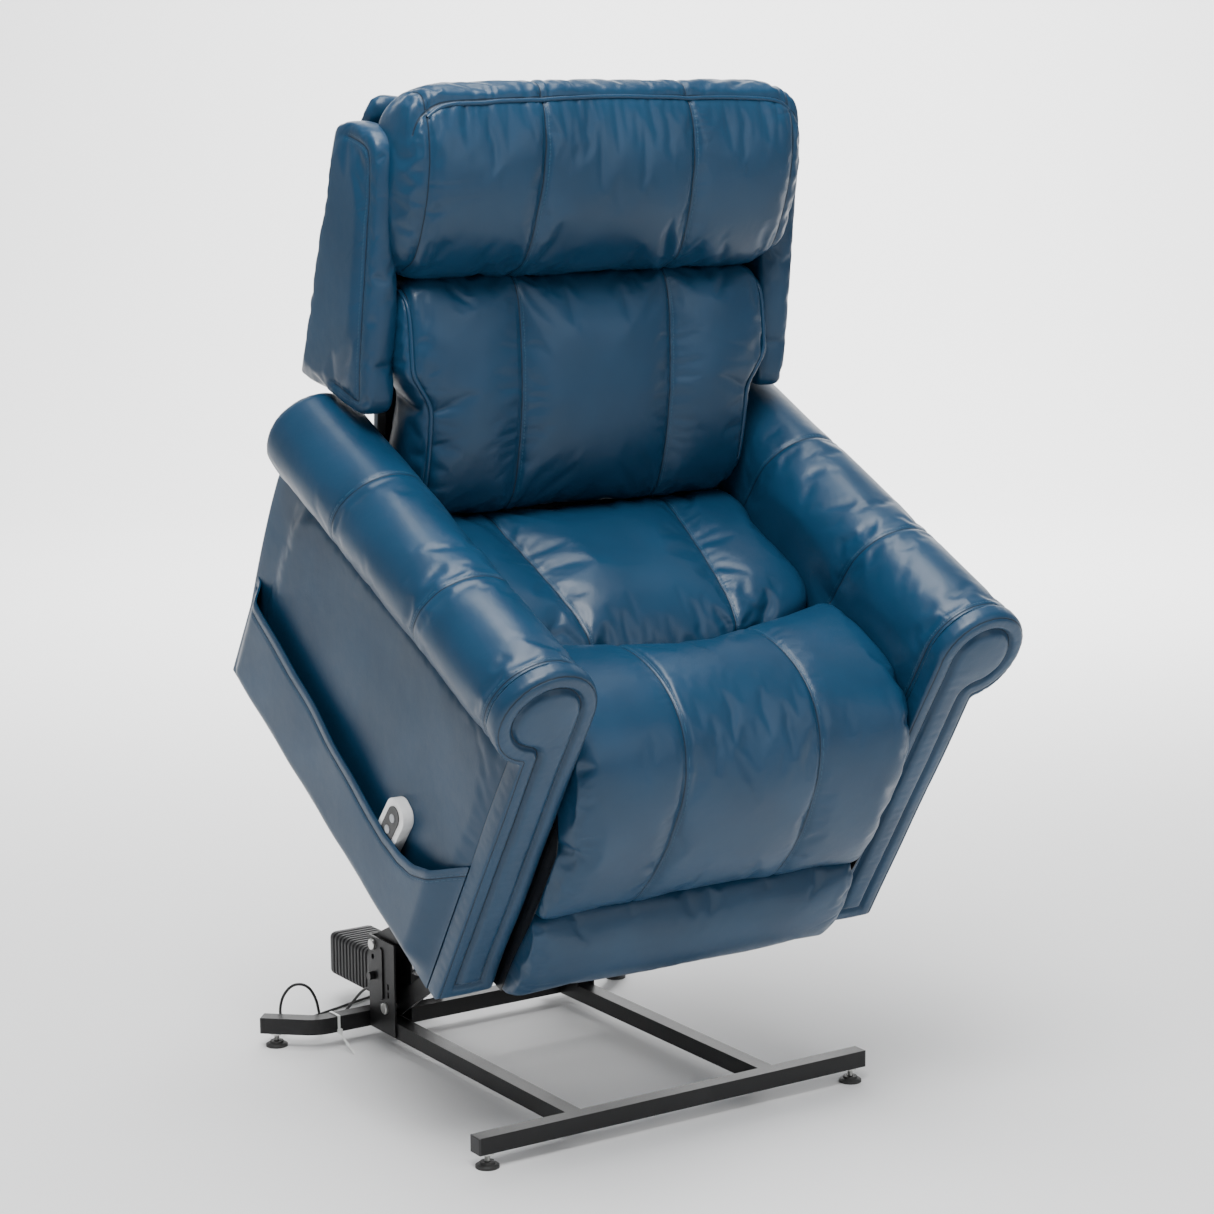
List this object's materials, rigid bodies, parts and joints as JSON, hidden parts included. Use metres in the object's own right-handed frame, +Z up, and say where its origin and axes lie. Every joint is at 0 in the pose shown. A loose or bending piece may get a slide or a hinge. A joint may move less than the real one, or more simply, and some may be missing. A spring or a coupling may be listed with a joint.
{
  "type": "lift recliner chair",
  "caption": "Powered lift recliner with rolled arms, winged back, headrest pillow, chaise footrest and side pockets on a steel lift base with levelling feet, shown raised and tipped forward.",
  "frame": {"origin": "on the floor, below the middle of the chair with its unseen lead left out", "axes": "+Z up, the chair faces -Y, +X to the sitter's left"},
  "size_m": [0.862, 1.1176, 1.4614],
  "materials": {
    "blue_leather": "smooth semi-gloss bonded leather",
    "black_leatherette": "glossy black gusset cloth",
    "black_steel": "satin black powder coat",
    "zinc": "bright zinc plate",
    "black_plastic": "moulded ribbed plastic",
    "rubber": "moulded foot pads",
    "plywood": "birch plywood",
    "timber": "sawn hardwood",
    "rod_steel": "ground steel rod",
    "white_plastic": "glossy white shell",
    "key_grey": "moulded keys",
    "cable": "black flexible sheath",
    "nylon": "natural nylon"
  },
  "bodies": {
    "base": {"front_crossbar": "black_steel", "rear_crossbar": "black_steel", "side_rails": "black_steel", "uprights": "black_steel", "outriggers": "black_steel", "tube_end_caps": "black_plastic", "foot_nut_plates": "zinc", "base_pivot_bolts": "zinc", "upright_knobs": "black_plastic", "lift_motor_bracket": "black_steel", "cable_tie": "nylon", "power_lead": "cable", "power_lead_coil": "cable", "lead_connector": "black_plastic", "lead_gland": "black_plastic"},
    "left_front_foot": {"left_front_foot": "rubber"},
    "right_front_foot": {"right_front_foot": "rubber"},
    "left_rear_foot": {"left_rear_foot": "rubber"},
    "right_rear_foot": {"right_rear_foot": "rubber"},
    "upper_links": {"upper_links": "black_steel"},
    "lower_links": {"lower_links": "black_steel"},
    "lift_motor": {"lift_motor_housing": "black_plastic", "lift_actuator_tube": "rod_steel"},
    "lift_rod": {"lift_rod": "rod_steel"},
    "seat_unit": {"seat_rails": "black_steel", "seat_posts": "black_steel", "cross_tubes": "black_steel", "seat_deck": "plywood", "drive_brackets": "black_steel", "knee_brackets": "black_steel", "back_brackets": "black_steel", "recline_motor_housing": "black_plastic", "recline_actuator_tube": "rod_steel", "control_box": "black_plastic", "arm_frames": "plywood", "left_arm_pad": "blue_leather", "right_arm_pad": "blue_leather", "left_arm_front": "blue_leather", "right_arm_front": "blue_leather", "left_pocket": "blue_leather", "right_pocket": "blue_leather", "seat_cushion": "blue_leather", "knee_pad": "blue_leather"},
    "footrest": {"footrest_board": "plywood", "leg_pad": "blue_leather", "footrest_pad": "blue_leather", "footrest_arms": "black_steel", "side_gussets": "black_leatherette"},
    "recline_rod": {"recline_rod": "rod_steel"},
    "backrest": {"back_frame": "timber", "back_hinge_arms": "black_steel", "back_cover": "blue_leather", "lumbar_cushion": "blue_leather", "headrest_pillow": "blue_leather", "left_wing": "blue_leather", "right_wing": "blue_leather"},
    "handset": {"handset_shell": "white_plastic", "handset_keypad": "black_plastic"},
    "raise_button": {"raise_button": "key_grey"},
    "lower_button": {"lower_button": "key_grey"}
  },
  "joints": [
    {"name": "left_front_foot_screw", "type": "slide", "parent": "base", "child": "left_front_foot", "axis": [0, 0, 1], "range_m": [-0.012, 0.006]},
    {"name": "right_front_foot_screw", "type": "slide", "parent": "base", "child": "right_front_foot", "axis": [0, 0, 1], "range_m": [-0.012, 0.006]},
    {"name": "left_rear_foot_screw", "type": "slide", "parent": "base", "child": "left_rear_foot", "axis": [0, 0, 1], "range_m": [-0.012, 0.006]},
    {"name": "right_rear_foot_screw", "type": "slide", "parent": "base", "child": "right_rear_foot", "axis": [0, 0, 1], "range_m": [-0.012, 0.006]},
    {"name": "lift", "type": "hinge", "parent": "base", "child": "upper_links", "pos_m": [0, 0.2945, 0.159], "axis": [1, 0, 0], "range_deg": [0, 28.21]},
    {"name": "seat_tilt", "type": "hinge", "parent": "upper_links", "child": "seat_unit", "pos_m": [0, -0.15777, 0.37676], "axis": [1, 0, 0], "range_deg": [-59.76, 0]},
    {"name": "lower_link_swing", "type": "hinge", "parent": "base", "child": "lower_links", "pos_m": [0, 0.2575, 0.065], "axis": [1, 0, 0], "range_deg": [0, 28.9]},
    {"name": "lift_motor_swing", "type": "hinge", "parent": "base", "child": "lift_motor", "pos_m": [0, 0.3605, 0.06], "axis": [1, 0, 0], "range_deg": [0, 24.75]},
    {"name": "lift_rod_stroke", "type": "slide", "parent": "lift_motor", "child": "lift_rod", "axis": [0, -0.7647, 0.6444], "range_m": [-0.1228, 0]},
    {"name": "footrest", "type": "hinge", "parent": "seat_unit", "child": "footrest", "pos_m": [0, -0.40293, 0.59927], "axis": [1, 0, 0], "range_deg": [-80, 0]},
    {"name": "recline_rod_stroke", "type": "slide", "parent": "seat_unit", "child": "recline_rod", "axis": [0, -0.9439, -0.3301], "range_m": [0, 0.2055]},
    {"name": "recline", "type": "hinge", "parent": "seat_unit", "child": "backrest", "pos_m": [0, 0.13514, 0.8123], "axis": [1, 0, 0], "range_deg": [-35, 0]},
    {"name": "handset_lift_out", "type": "slide", "parent": "seat_unit", "child": "handset", "axis": [0, -0.5232, 0.8522], "range_m": [0, 0.17]},
    {"name": "raise_button_press", "type": "slide", "parent": "handset", "child": "raise_button", "axis": [1, 0, 0], "range_m": [0, 0.0007], "stiffness_N_per_m": 800},
    {"name": "lower_button_press", "type": "slide", "parent": "handset", "child": "lower_button", "axis": [1, 0, 0], "range_m": [0, 0.0007], "stiffness_N_per_m": 800}
  ],
  "couplings": [
    {"joint": "seat_tilt", "follows": "lift", "ratio": -2.1183},
    {"joint": "lower_link_swing", "follows": "lift", "ratio": 1.0239},
    {"joint": "lift_motor_swing", "follows": "lift", "ratio": 0.87621},
    {"joint": "lift_rod_stroke", "follows": "lift", "m_per_rad": -0.24919},
    {"joint": "recline_rod_stroke", "follows": "footrest", "m_per_rad": -0.14703},
    {"joint": "recline", "follows": "footrest", "ratio": 0.4375}
  ]
}
